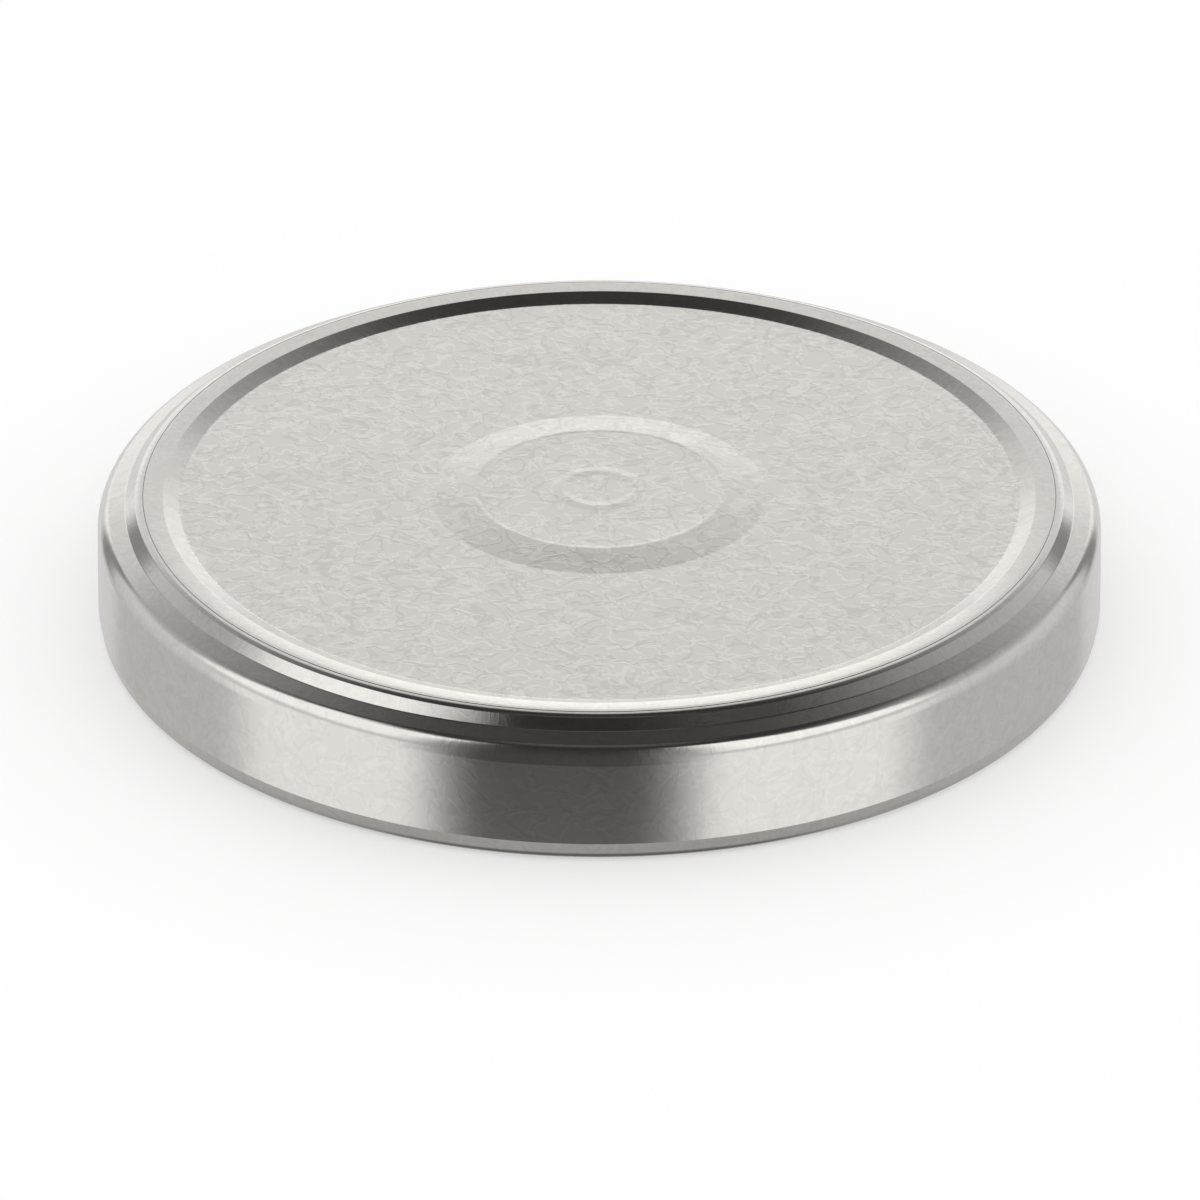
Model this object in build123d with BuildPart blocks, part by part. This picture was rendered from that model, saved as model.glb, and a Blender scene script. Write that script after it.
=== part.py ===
from build123d import *
import os
from math import cos, degrees, radians, sin, tan

# A lug lid for a glass jar with a 70 mm mouth finish, lying on the curl at the foot of its skirt.
# The origin is on the axis in the plane that the curl rests on. Millimetres, +Z up, panel on top.

# Overall sizes
skirt_radius = 36.6
total_height = 10.1
sheet = 0.2

# Steps from the skirt in to the panel, each measured along the radius
shoulder_width = 0.93
ledge_width = 1.2
step_width = 0.76
lip_width = 0.57
rim_width = 1.42
slope_width = 1.23
rim_crest = 0.3  # level part of the rim, beside the crease

# Drops of the same steps, each measured down from the one above it
rim_fall = 0.08  # from the rim's crest in to its inner edge
lip_drop = 0.15
step_drop = 0.69
ledge_drop = 0.38
shoulder_break = 28.0  # degrees below level where the shoulder leaves the ledge
panel_depth = 0.57

# Outside radii of the pressed bends
soft_bend = 0.3
ledge_bend = 0.4
shoulder_flat = 0.15  # straight left beside the shoulder's bend

# Safety button, raised above the panel, with a dimple at its centre
button_radius = 12.2
button_crest_radius = 9.1
button_dish_radius = 8.85
button_rise = 0.42
button_dish = 0.03
nub_foot_radius = 3.4
nub_crest_radius = 2.7
nub_dimple_radius = 2.05
nub_rise = 0.05
nub_dimple = 0.05
button_bend = 1.2

# Fine score line pressed where the rim meets its lip
score_width = 0.12
score_depth = 0.05

# Curl at the foot of the skirt: an open roll of the sheet's own edge
heel_bend = 1.0
curl_bend = 0.7  # of the roll's nose
curl_flat = 0.1
curl_return = 0.15
hem_straight = 0.2  # straight skirt above the curl that belongs to the hem's section

# Lugs pressed out of the curl
lug_count = 4
lug_reach = 3.2  # from the outside of the skirt to the tip
lug_width = 7.0  # at full reach, round the skirt
lug_flank = 2.6
lug_rise = 10.0  # degrees above level from heel to nose
lug_nose_bend = 0.42
lug_return_gap = 0.35

# Compound flowed into the channel under the rim
seal_clearance = 0.02
seal_overlap = 0.3
seal_face_depth = 1.7
seal_edge = 0.2
seal_taper = 1.5
seal_creep = 0.35
seal_bend = 1.2

os.makedirs("parts", exist_ok=True)

# Radii of the steps, worked inwards from the skirt
ledge_radius = skirt_radius - shoulder_width
foot_radius = ledge_radius - ledge_width
lip_radius = foot_radius - step_width
crease_radius = lip_radius - lip_width
rim_radius = crease_radius - rim_width
panel_radius = rim_radius - slope_width

# Heights of the same steps, worked down from the rim
lip_height = total_height - lip_drop
foot_height = lip_height - step_drop
ledge_height = foot_height - ledge_drop
corner_height = ledge_height - shoulder_width * tan(radians(shoulder_break))
shoulder_slope = shoulder_width / cos(radians(shoulder_break))
shoulder_bend = (shoulder_slope - shoulder_flat) / tan(radians((90 - shoulder_break) / 2))
hem_height = heel_bend + hem_straight
panel_height = total_height - panel_depth
crest_height = panel_height + button_rise
dish_height = crest_height - button_dish
nub_height = dish_height + nub_rise

# Outside line of the sheet from the axis to the skirt: each corner with the bend pressed into it
corners = [
    ((nub_dimple_radius, nub_height - nub_dimple), button_bend),
    ((nub_crest_radius, nub_height), button_bend),
    ((nub_foot_radius, dish_height), button_bend),
    ((button_dish_radius, dish_height), button_bend),
    ((button_crest_radius, crest_height), button_bend),
    ((button_radius, panel_height), button_bend),
    ((panel_radius, panel_height), soft_bend),
    ((rim_radius, total_height - rim_fall), soft_bend),
    ((crease_radius - rim_crest, total_height), soft_bend),
    ((crease_radius, total_height), soft_bend),
    ((lip_radius, lip_height), soft_bend),
    ((foot_radius, foot_height), soft_bend),
    ((ledge_radius, ledge_height), ledge_bend),
    ((skirt_radius, corner_height), shoulder_bend),
]
outline = [(0, nub_height - nub_dimple), *(point for point, bend in corners), (skirt_radius, hem_height)]
bends = [bend for point, bend in corners]

# Lengths along a lug's rising flat and along the return above it, up to the gap at the skirt
lug_lean = radians(lug_rise)
lug_run = lug_reach - heel_bend - lug_nose_bend
lug_flat = (lug_run - (heel_bend - lug_nose_bend) * sin(lug_lean)) / cos(lug_lean)
lug_return = lug_flat + (heel_bend - sheet - lug_return_gap) / cos(lug_lean)

# Half angles of a lug: its flat middle, and the whole of it with both flanks
lug_middle = degrees(lug_width / 2 / skirt_radius)
lug_whole = lug_middle + degrees(lug_flank / skirt_radius)


def radial_plane(azimuth):
    # Upright half plane through the axis, its X pointing outwards
    across = radians(azimuth)
    return Plane(origin=(0, 0, 0), x_dir=(cos(across), sin(across), 0), z_dir=(sin(across), -cos(across), 0))


def blend(pressed, round_value, lug_value):
    # Size on the way from the round curl, at 0, to the full lug, at 1
    return round_value + pressed * (lug_value - round_value)


def hem_section(azimuth, pressed):
    # The sheet's edge as it turns under and back: heel arc, flat, nose arc and return
    rise = radians(blend(pressed, 0, lug_rise))
    inward = Vector(-cos(rise), sin(rise))
    upward = Vector(sin(rise), cos(rise))
    turn = -90 - degrees(rise)
    nose_bend = blend(pressed, curl_bend, lug_nose_bend)
    flat = blend(pressed, curl_flat, lug_flat)
    back = blend(pressed, curl_return, lug_return)
    heel_centre = Vector(skirt_radius - heel_bend, heel_bend)
    heel_end = heel_centre - heel_bend * upward
    nose_start = heel_end + flat * inward
    nose_centre = nose_start + nose_bend * upward
    nose_end = nose_centre + nose_bend * upward
    edge = nose_end - back * inward
    inside = sheet * upward
    with BuildSketch(radial_plane(azimuth)) as section:
        with BuildLine():
            Line((skirt_radius, hem_height), (skirt_radius, heel_bend))
            CenterArc(heel_centre, heel_bend, 0, turn)
            Line(heel_end, nose_start)
            CenterArc(nose_centre, nose_bend, turn, -180)
            Polyline(nose_end, edge, edge - inside, nose_end - inside)
            CenterArc(nose_centre, nose_bend - sheet, turn - 180, 180)
            Line(nose_start + inside, heel_end + inside)
            CenterArc(heel_centre, heel_bend - sheet, turn, -turn)
            Polyline(
                (skirt_radius - sheet, heel_bend),
                (skirt_radius - sheet, hem_height),
                (skirt_radius, hem_height),
            )
        make_face()
    return section.sketch


# One lug's share of the hem: the roll between lugs, a flank, the lug and the other flank
flank_steps = 8
share = 360 / lug_count
with BuildPart() as hem:
    for side in (-1, 1):
        flank = []
        for step in range(flank_steps + 1):
            travel = step / flank_steps
            azimuth = side * (lug_whole + travel * (lug_middle - lug_whole))
            flank.append(hem_section(azimuth, (1 - cos(radians(180 * travel))) / 2))
        loft(flank)
    revolve(hem_section(-lug_middle, 1).faces(), Axis.Z, 2 * lug_middle)
    revolve(hem_section(lug_whole, 0).faces(), Axis.Z, share - 2 * lug_whole)

# The shell: the drawn sheet from the axis to the hem, with the hem's shares round it
with BuildPart() as lid_shell:
    with BuildSketch(Plane.XZ):
        with BuildLine():
            FilletPolyline(*outline, radius=bends)
            offset(amount=sheet, side=Side.RIGHT)
        make_face()
    revolve(axis=Axis.Z)
    with BuildSketch(Plane.XZ):
        with BuildLine():
            Polyline(
                (crease_radius - score_width / 2, total_height),
                (crease_radius, total_height - score_depth),
                (crease_radius + score_width / 2, total_height),
                close=True,
            )
        make_face()
    revolve(axis=Axis.Z, mode=Mode.SUBTRACT)
    with PolarLocations(0, lug_count):
        add(hem.part)
lid_shell.part.label = "lid_shell"
export_step(lid_shell.part, "parts/lid_shell.step")

# The sealing ring: fills the channel under the rim up to a named clearance. Its free face tapers
# out under the panel and creeps up the inside of the shoulder.
seal_inner_radius = panel_radius - seal_overlap
seal_face = total_height - seal_face_depth
seal_edge_height = panel_height - sheet - seal_edge
with BuildPart() as sealing_ring:
    with BuildSketch(Plane.XZ):
        with BuildLine():
            top = FilletPolyline(*outline, radius=bends)
            Polyline(top @ 1, (0, hem_height), top @ 0)
        make_face()
        offset(amount=-(sheet + seal_clearance))
        with BuildLine():
            FilletPolyline(
                (seal_inner_radius, total_height),
                (seal_inner_radius, seal_edge_height),
                (seal_inner_radius + seal_taper, seal_face),
                (skirt_radius - seal_taper, seal_face),
                (skirt_radius, seal_face + seal_creep),
                (skirt_radius, total_height),
                radius=(seal_edge / 2, seal_bend, seal_bend, 0),
            )
            Line((skirt_radius, total_height), (seal_inner_radius, total_height))
        make_face(mode=Mode.INTERSECT)
    revolve(axis=Axis.Z)
sealing_ring.part.label = "sealing_ring"
export_step(sealing_ring.part, "parts/sealing_ring.step")
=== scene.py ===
from math import atan2, cos, degrees, hypot, pi, radians, sin, tan

import bmesh
import bpy
from mathutils import Matrix, Vector


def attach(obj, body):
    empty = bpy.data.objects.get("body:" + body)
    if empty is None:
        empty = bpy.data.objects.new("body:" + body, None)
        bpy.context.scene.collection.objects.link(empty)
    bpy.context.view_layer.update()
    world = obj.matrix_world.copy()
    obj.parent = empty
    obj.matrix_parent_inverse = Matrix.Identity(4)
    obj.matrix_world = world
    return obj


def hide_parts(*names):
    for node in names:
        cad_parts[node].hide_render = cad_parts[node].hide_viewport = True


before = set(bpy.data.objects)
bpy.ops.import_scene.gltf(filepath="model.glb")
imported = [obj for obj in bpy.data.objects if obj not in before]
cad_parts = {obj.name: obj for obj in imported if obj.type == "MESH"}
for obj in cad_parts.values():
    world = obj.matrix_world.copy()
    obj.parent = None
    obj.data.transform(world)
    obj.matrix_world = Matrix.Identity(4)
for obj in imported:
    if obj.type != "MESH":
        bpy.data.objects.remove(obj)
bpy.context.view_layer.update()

# A lug lid for a glass jar, lying on its curl. Sizes below are in millimetres, as in the lid's drawing.
MM = 0.001
AROUND = 480

SHEET = 0.2
HEEL = 35.571
HEEL_BEND = 0.91
HEM_TOP = 1.5
SCORE = 33.14
CURL_BEND = 0.7
CURL_FLAT = 0.071
CURL_RETURN = 0.15
LUG_NOSE_BEND = 0.42
LUG_FLAT = 1.692
LUG_RETURN = 2.1
LUG_RISE = 10.0
LUG_MIDDLE = 5.48
LUG_WHOLE = 9.55
LUGS = 4

# Outside line of the sheet from the axis outwards: radius, height, bend radius, segments in the bend
DRAWN_SHEET = [
    (0.0, 9.92, 0.0, 0),
    (2.05, 9.92, 1.2, 3),
    (2.7, 9.97, 1.2, 3),
    (3.4, 9.92, 1.2, 3),
    (8.85, 9.92, 1.2, 3),
    (9.1, 9.95, 1.2, 3),
    (12.2, 9.53, 1.2, 3),
    (30.49, 9.53, 0.3, 4),
    (31.72, 10.02, 0.3, 4),
    (32.84, 10.099, 0.3, 2),
    (SCORE - 0.04, 10.099, 0.0, 0),
    (SCORE, 10.079, 0.0, 0),
    (SCORE + 0.04, 10.089, 0.0, 0),
    (33.42, 10.056, 0.6, 3),
    (33.71, 9.95, 0.3, 4),
    (34.47, 9.26, 0.3, 4),
    (35.67, 8.88, 0.4, 4),
    (36.46, 8.41, 1.44, 12),
    (36.56, 4.2, 0.0, 0),
    (36.599, HEM_TOP, 0.0, 0),
]
# The same line on round the curl to the sheet's cut edge
ROUND_CURL = [
    (36.3345, 0.0, HEEL_BEND, 10),
    (34.8, 0.0, 0.7, 7),
    (34.8, 1.4, 0.7, 7),
    (35.65, 1.4, 0.0, 0),
]


def turn_at(before, corner, after):
    """Angle by which a line turns at a corner."""
    return (corner - before).angle(after - corner)


def wire(bm, corners, closed=False):
    """Edges through the corners, in the upright plane through the axis, each corner bent to its radius."""
    points = [Vector((radius, 0, height)) for radius, height, bend, segments in corners]
    verts = [bm.verts.new(point) for point in points]
    for first, second in zip(verts, verts[1:] + verts[:1] * closed):
        bm.edges.new((first, second))
    for index, (radius, height, bend, segments) in enumerate(corners):
        if bend:
            turn = turn_at(points[index - 1], points[index], points[(index + 1) % len(points)])
            bmesh.ops.bevel(
                bm, geom=[verts[index]], offset=bend * tan(turn / 2), offset_type="OFFSET",
                affect="VERTICES", segments=segments, profile=0.5, material=-1, clamp_overlap=False,
            )
    bmesh.ops.remove_doubles(bm, verts=bm.verts[:], dist=0.0005)


def turned(bm):
    """The wire spun once round the axis, with its pole closed and its faces pointing outwards."""
    bmesh.ops.spin(
        bm, geom=bm.verts[:] + bm.edges[:], cent=(0, 0, 0), axis=(0, 0, 1), angle=2 * pi,
        steps=AROUND, use_merge=True,
    )
    bmesh.ops.remove_doubles(bm, verts=bm.verts[:], dist=0.0005)
    bmesh.ops.recalc_face_normals(bm, faces=bm.faces[:])


def piece(name, bm, materials, node):
    """A finished mesh in metres, standing for a CAD node and riding with it."""
    bmesh.ops.scale(bm, verts=bm.verts[:], vec=(MM, MM, MM))
    for face in bm.faces:
        face.smooth = True
    mesh = bpy.data.meshes.new(name)
    bm.to_mesh(mesh)
    bm.free()
    made = bpy.data.objects.new(name, mesh)
    bpy.context.scene.collection.objects.link(made)
    for material in materials:
        mesh.materials.append(material)
    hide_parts(node)
    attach(made, "root")
    return made


class Number:
    """One number in a node tree. Arithmetic on it adds Math nodes."""

    def __init__(self, nodes, socket):
        self.nodes = nodes
        self.socket = socket

    def maths(self, operation, *values):
        node = self.nodes.add("ShaderNodeMath", dict(enumerate(values)), operation=operation)
        return Number(self.nodes, node.outputs[0])

    def __add__(self, other):
        return self.maths("ADD", self, other)

    def __sub__(self, other):
        return self.maths("SUBTRACT", self, other)

    def __rsub__(self, other):
        return self.maths("SUBTRACT", other, self)

    def __mul__(self, other):
        return self.maths("MULTIPLY", self, other)

    def __truediv__(self, other):
        return self.maths("DIVIDE", self, other)

    def __abs__(self):
        return self.maths("ABSOLUTE", self)

    def __pow__(self, other):
        return self.maths("POWER", self, other)

    __radd__ = __add__
    __rmul__ = __mul__

    def rising(self, middle, soft):
        """0 below the middle, 1 above it, with a smooth change of that half width."""
        node = self.nodes.add(
            "ShaderNodeMapRange",
            {"Value": self, "From Min": middle - soft, "From Max": middle + soft},
            interpolation_type="SMOOTHSTEP",
        )
        return Number(self.nodes, node.outputs[0])

    def between(self, low, high, soft):
        return self.rising(low, soft) - self.rising(high, soft)


class Nodes:
    """The nodes of one material or of the world."""

    def __init__(self, owner):
        owner.use_nodes = True
        self.tree = owner.node_tree
        self.tree.nodes.clear()

    def add(self, kind, values=None, stops=None, **settings):
        node = self.tree.nodes.new(kind)
        for name, value in settings.items():
            setattr(node, name, value)
        if stops:
            ramp = node.color_ramp.elements
            for place, level in stops[1:-1]:
                ramp.new(place).color = (level, level, level, 1)
            for element, (place, level) in ((ramp[0], stops[0]), (ramp[len(ramp) - 1], stops[-1])):
                element.position = place
                element.color = (level, level, level, 1)
        for name, value in (values or {}).items():
            if isinstance(value, Number):
                value = value.socket
            if isinstance(value, bpy.types.NodeSocket):
                self.tree.links.new(value, node.inputs[name])
            else:
                node.inputs[name].default_value = value
        return node

    def number(self, kind, values=None, output=0, **settings):
        return Number(self, self.add(kind, values, **settings).outputs[output])

    def ramp(self, value, stops):
        """A number that follows the stops, each a place and a level."""
        low, high = stops[0][0], stops[-1][0]
        spread = [((place - low) / (high - low), level) for place, level in stops]
        return self.number("ShaderNodeValToRGB", {"Fac": (value - low) / (high - low)}, stops=spread)


def brushed_tinplate(name, lacquered=False):
    """Bright tinplate, satin on the panel and smoother on the drawn steps."""
    material = bpy.data.materials.new(name)
    nodes = Nodes(material)
    place = nodes.add("ShaderNodeTexCoord").outputs["Object"]
    split = nodes.add("ShaderNodeSeparateXYZ", {"Vector": place})
    x, y, z = (Number(nodes, split.outputs[axis]) * (1 / MM) for axis in "XYZ")
    radius = (x * x + y * y) ** 0.5
    panel = 1 - radius.rising(30.6, 0.25)
    skirt = 1 - z.rising(8.2, 0.5)
    roughness = nodes.ramp(radius, [
        (30.2, 0.32), (30.6, 0.14), (31.6, 0.14), (31.8, 0.16), (33.0, 0.16), (33.3, 0.14),
        (33.7, 0.12), (34.4, 0.12), (34.6, 0.15), (35.6, 0.15), (35.8, 0.12), (36.6, 0.16),
    ])
    # Embossed grain of the satin panel: the contour lines of two noises
    metres = nodes.add("ShaderNodeMapping", {"Vector": place, "Scale": (1000, 1000, 1000)}).outputs[0]
    coarse = nodes.number(
        "ShaderNodeTexNoise", {"Vector": metres, "Scale": 0.45, "Detail": 2.0, "Distortion": 0.6}
    )
    fine = nodes.number(
        "ShaderNodeTexNoise", {"Vector": metres, "Scale": 0.65, "Detail": 2.0, "Distortion": 0.5}
    )
    worms = 1 - abs(coarse - 0.5).rising(0.025, 0.018)
    threads = 1 - abs(fine - 0.52).rising(0.03, 0.022)
    # Marks of the dies on the steps and the skirt, across the way the sheet was drawn
    angle = nodes.number("ShaderNodeMath", {0: y, 1: x}, operation="ARCTAN2")
    polar = nodes.add("ShaderNodeCombineXYZ", {"X": angle * 160.0, "Y": radius * 0.9, "Z": z * 0.9}).outputs[0]
    marks = nodes.number("ShaderNodeTexNoise", {"Vector": polar, "Scale": 1.0, "Detail": 4.0})
    height = (worms + threads) * (0.1 + 0.9 * panel) + (marks - 0.5) * 0.25 * (1 - panel) * (1 - skirt * 0.9)
    bump = nodes.add(
        "ShaderNodeBump", {"Height": height, "Strength": 0.5, "Distance": 0.00001}
    ).outputs[0]
    # The score line beside the rim is darkened with painted shade, standing in for the shadow in its crease; the
    # grain is a little darker and brighter than the sheet
    painted_score_shade = radius.between(SCORE - 0.03, SCORE + 0.03, 0.015) * z.rising(10.0, 0.02)
    shade = (1 + (threads - worms) * (0.04 + 0.05 * panel)) * (1 - painted_score_shade * 0.75)
    tone = nodes.add("ShaderNodeMix", {
        "Factor": panel, "A": (0.80, 0.777, 0.738, 1), "B": (0.79, 0.765, 0.724, 1),
    }, data_type="RGBA").outputs["Result"]
    tone = nodes.add("ShaderNodeVectorMath", {"Vector": tone, "Scale": shade}, operation="SCALE").outputs[0]
    shader = nodes.add("ShaderNodeBsdfPrincipled", {
        "Base Color": tone, "Metallic": 1.0, "Roughness": roughness, "Normal": bump,
    })
    if lacquered:
        shader.inputs["Coat Weight"].default_value = 0.6
        shader.inputs["Coat Roughness"].default_value = 0.15
    nodes.add("ShaderNodeOutputMaterial", {"Surface": shader.outputs[0]})
    return material


def cured_compound(name):
    """Pale lining compound: matt, faintly uneven as it flowed."""
    material = bpy.data.materials.new(name)
    nodes = Nodes(material)
    place = nodes.add("ShaderNodeTexCoord").outputs["Object"]
    metres = nodes.add("ShaderNodeMapping", {"Vector": place, "Scale": (1000, 1000, 1000)}).outputs[0]
    flow = nodes.number("ShaderNodeTexNoise", {"Vector": metres, "Scale": 0.35, "Detail": 3.0})
    fine = nodes.number("ShaderNodeTexNoise", {"Vector": metres, "Scale": 6.0, "Detail": 2.0})
    tone = nodes.add("ShaderNodeMix", {
        "Factor": flow, "A": (0.84, 0.825, 0.78, 1), "B": (0.88, 0.87, 0.835, 1),
    }, data_type="RGBA").outputs[2]
    bump = nodes.add(
        "ShaderNodeBump", {"Height": flow * 0.8 + fine * 0.2, "Strength": 0.5, "Distance": 0.00005}
    ).outputs[0]
    shader = nodes.add("ShaderNodeBsdfPrincipled", {
        "Base Color": tone, "Roughness": 0.45 + flow * 0.2, "Normal": bump,
    })
    nodes.add("ShaderNodeOutputMaterial", {"Surface": shader.outputs[0]})
    return material


def pressed_hem(radius, height, pressed):
    """Where a point of the round curl lies once the lug is pressed out of it, from 0 to 1."""
    rise = radians(pressed * LUG_RISE)
    inward = Vector((-cos(rise), sin(rise)))
    upward = Vector((sin(rise), cos(rise)))
    nose_bend = CURL_BEND + pressed * (LUG_NOSE_BEND - CURL_BEND)
    flat = CURL_FLAT + pressed * (LUG_FLAT - CURL_FLAT)
    back = CURL_RETURN + pressed * (LUG_RETURN - CURL_RETURN)
    heel = Vector((HEEL, HEEL_BEND))
    nose = heel - HEEL_BEND * upward + flat * inward + nose_bend * upward
    round_nose = HEEL - CURL_FLAT
    if radius > heel.x - 0.001 and height < HEEL_BEND:
        turn = atan2(HEEL_BEND - height, radius - heel.x) * (1 + rise / (pi / 2))
        return heel + HEEL_BEND * Vector((cos(turn), -sin(turn)))
    if radius < round_nose + 0.001:
        turn = atan2(round_nose - radius, CURL_BEND - height)
        return nose + nose_bend * (sin(turn) * inward - cos(turn) * upward)
    return nose + nose_bend * upward - back * inward


def press_lugs(bm):
    """Presses the four lugs out of the curl."""
    for vert in bm.verts:
        radius, height = hypot(vert.co.x, vert.co.y), vert.co.z
        if height > HEM_TOP - 0.001:
            continue
        azimuth = degrees(atan2(vert.co.y, vert.co.x))
        off_lug = abs((azimuth + 180 / LUGS) % (360 / LUGS) - 180 / LUGS)
        travel = min(max((LUG_WHOLE - off_lug) / (LUG_WHOLE - LUG_MIDDLE), 0), 1)
        new_radius, new_height = pressed_hem(radius, height, (1 - cos(pi * travel)) / 2)
        vert.co = (vert.co.x * new_radius / radius, vert.co.y * new_radius / radius, new_height)


bright = brushed_tinplate("tinplate")
inside = brushed_tinplate("tinplate_inside", lacquered=True)
compound = cured_compound("compound")

shell = bmesh.new()
wire(shell, DRAWN_SHEET + ROUND_CURL)
turned(shell)
for edge in shell.edges:
    # The score line and the top of the hem stay crisp
    radii = [hypot(vert.co.x, vert.co.y) for vert in edge.verts]
    scored = all(abs(radius - SCORE) < 0.05 for radius in radii)
    hemmed = all(abs(vert.co.z - HEM_TOP) < 0.001 for vert in edge.verts)
    edge.smooth = not (scored or hemmed)
press_lugs(shell)
lid = piece("lid_pressed_sheet", shell, [bright, inside], "lid_shell")
wall = lid.modifiers.new("sheet thickness", "SOLIDIFY")
wall.thickness = SHEET * MM
wall.offset = -1
wall.use_even_offset = True
wall.material_offset = 1
wall.material_offset_rim = 0
flats = lid.modifiers.new("flat faces lead", "WEIGHTED_NORMAL")
flats.keep_sharp = True

# Compound in the channel: along the inside of the sheet, then back over its own free face
SEAL = [
    (30.19, 9.31, 0.0, 0),
    (30.6, 9.31, 0.0, 0),
    (31.80, 9.80, 0.0, 0),
    (33.11, 9.88, 0.0, 0),
    (33.58, 9.76, 0.0, 0),
    (34.35, 9.06, 0.0, 0),
    (35.59, 8.67, 0.0, 0),
    (35.79, 8.562, 0.0, 0),
    (35.1, 8.4, 1.2, 5),
    (31.69, 8.4, 1.2, 7),
    (30.19, 9.13, 0.1, 4),
]
seal = bmesh.new()
wire(seal, SEAL, closed=True)
turned(seal)
ring = piece("sealing_compound", seal, [compound], "sealing_ring")
flats = ring.modifiers.new("flat faces lead", "WEIGHTED_NORMAL")

# Floor: white, keeping the lid's shadow; seen only from above
floor_material = bpy.data.materials.new("white floor")
nodes = Nodes(floor_material)
lit = nodes.add("ShaderNodeBsdfDiffuse", {"Color": (1, 1, 1, 1)}).outputs[0]
white = nodes.add("ShaderNodeEmission", {"Color": (1, 1, 1, 1), "Strength": 1.0}).outputs[0]
clear = nodes.add("ShaderNodeBsdfTransparent").outputs[0]
top = nodes.add("ShaderNodeMixShader", {"Fac": 0.6, 1: white, 2: lit}).outputs[0]
under = nodes.add("ShaderNodeNewGeometry").outputs["Backfacing"]
both = nodes.add("ShaderNodeMixShader", {"Fac": under, 1: top, 2: clear}).outputs[0]
nodes.add("ShaderNodeOutputMaterial", {"Surface": both})
ground = bmesh.new()
bmesh.ops.create_grid(ground, x_segments=1, y_segments=1, size=3.0)
mesh = bpy.data.meshes.new("floor")
ground.to_mesh(mesh)
ground.free()
mesh.materials.append(floor_material)
floor = bpy.data.objects.new("floor", mesh)
bpy.context.scene.collection.objects.link(floor)
floor.visible_glossy = False

# Studio: the world is white to the camera, even to matt surfaces, and a room of cards to the metal
world = bpy.data.worlds.new("studio")
bpy.context.scene.world = world
nodes = Nodes(world)
way = nodes.add("ShaderNodeSeparateXYZ", {"Vector": nodes.add("ShaderNodeTexCoord").outputs["Generated"]})
east, north, up = (Number(nodes, way.outputs[axis]) for axis in "XYZ")
elevation = nodes.number("ShaderNodeMath", {0: up}, operation="ARCSINE") * (180 / pi)
from_back = nodes.number("ShaderNodeMath", {0: east, 1: north}, operation="ARCTAN2") * (180 / pi)
from_front = nodes.number("ShaderNodeMath", {0: east, 1: 0 - north}, operation="ARCTAN2") * (180 / pi)

light = nodes.ramp(elevation, [
    (-90, 0.12), (-72, 0.15), (-60, 0.36), (-50, 0.38), (-40, 0.48), (-20, 0.57), (5, 0.66), (17, 0.66),
    (28, 0.48), (40, 0.38), (50, 0.22), (56, 0.12), (61, 0.045), (66, 0.025), (74, 0.02), (82, 0.07), (90, 0.09),
])
back_level = nodes.ramp(elevation, [
    (-40, 0.55), (-25, 0.72), (0, 0.76), (6, 0.98), (15, 1.0), (21, 0.88), (25, 0.72), (40, 0.72),
])
dark_level = nodes.ramp(elevation, [
    (-38, 0.30), (-33, 0.20), (-29, 0.11), (-25, 0.06), (10, 0.05), (45, 0.03), (60, 0.02), (68, 0.014),
    (76, 0.02), (86, 0.07),
])
CARDS = [
    # where the card hangs, its level
    # low cards either side of the camera, then the tall ones above them
    (from_front.between(21, 74, 9) * elevation.between(-40, 9, 4), 0.94),
    (from_front.between(-88, -36, 9) * elevation.between(-40, 10, 4), 0.92),
    (from_front.between(26, 80, 8) * elevation.between(21, 62, 3)
     * (1 - (elevation + from_front * 0.6).rising(88, 4)), 1.12),
    (from_front.between(-104, -42, 8) * elevation.between(22, 64, 6), 1.05),
    # the back wall, the piece above it, the gaps at its sides and the lamp before it
    (from_back.between(-35, 35, 5) * elevation.between(-33, 33, 6), back_level),
    (from_back.between(-18, 18, 7) * elevation.between(30, 48, 5), 0.74),
    ((from_back.between(-46, -35, 3) + from_back.between(35, 46, 3)) * elevation.between(-12, 26, 5), 0.26),
    (from_back.between(-7, 7, 6) * elevation.between(14, 22.5, 2.5), 1.27),
    # the dark of the room behind the camera
    (from_front.between(-36, 18, 11) * elevation.between(-39, 100, 5), dark_level),
]
for card, level in CARDS:
    light = light + card * (level - light)
path = nodes.add("ShaderNodeLightPath")
metal_sees = Number(nodes, path.outputs["Is Glossy Ray"])
level = 1 + metal_sees * (light - 1)
tone = nodes.add("ShaderNodeCombineColor", {"Red": level, "Green": level, "Blue": level}).outputs[0]
background = nodes.add("ShaderNodeBackground", {"Color": tone, "Strength": 1.0}).outputs[0]
nodes.add("ShaderNodeOutputWorld", {"Surface": background})

# Camera, 600 mm from the lid at the photograph's height
LENS = 245.64
camera = bpy.data.objects.new("camera", bpy.data.cameras.new("camera"))
bpy.context.scene.collection.objects.link(camera)
camera.data.lens = LENS
camera.data.sensor_width = 36.0
camera.data.shift_x = 0.7 / 1200
camera.data.shift_y = 7.9 / 1200
camera.data.clip_start = 0.01
camera.data.clip_end = 20.0
above = radians(28.9)
camera.location = (0, -0.6 * cos(above), 0.6 * sin(above))
camera.rotation_euler = (pi / 2 - above, 0, 0)
bpy.context.scene.camera = camera
bpy.context.scene.view_settings.view_transform = "Standard"
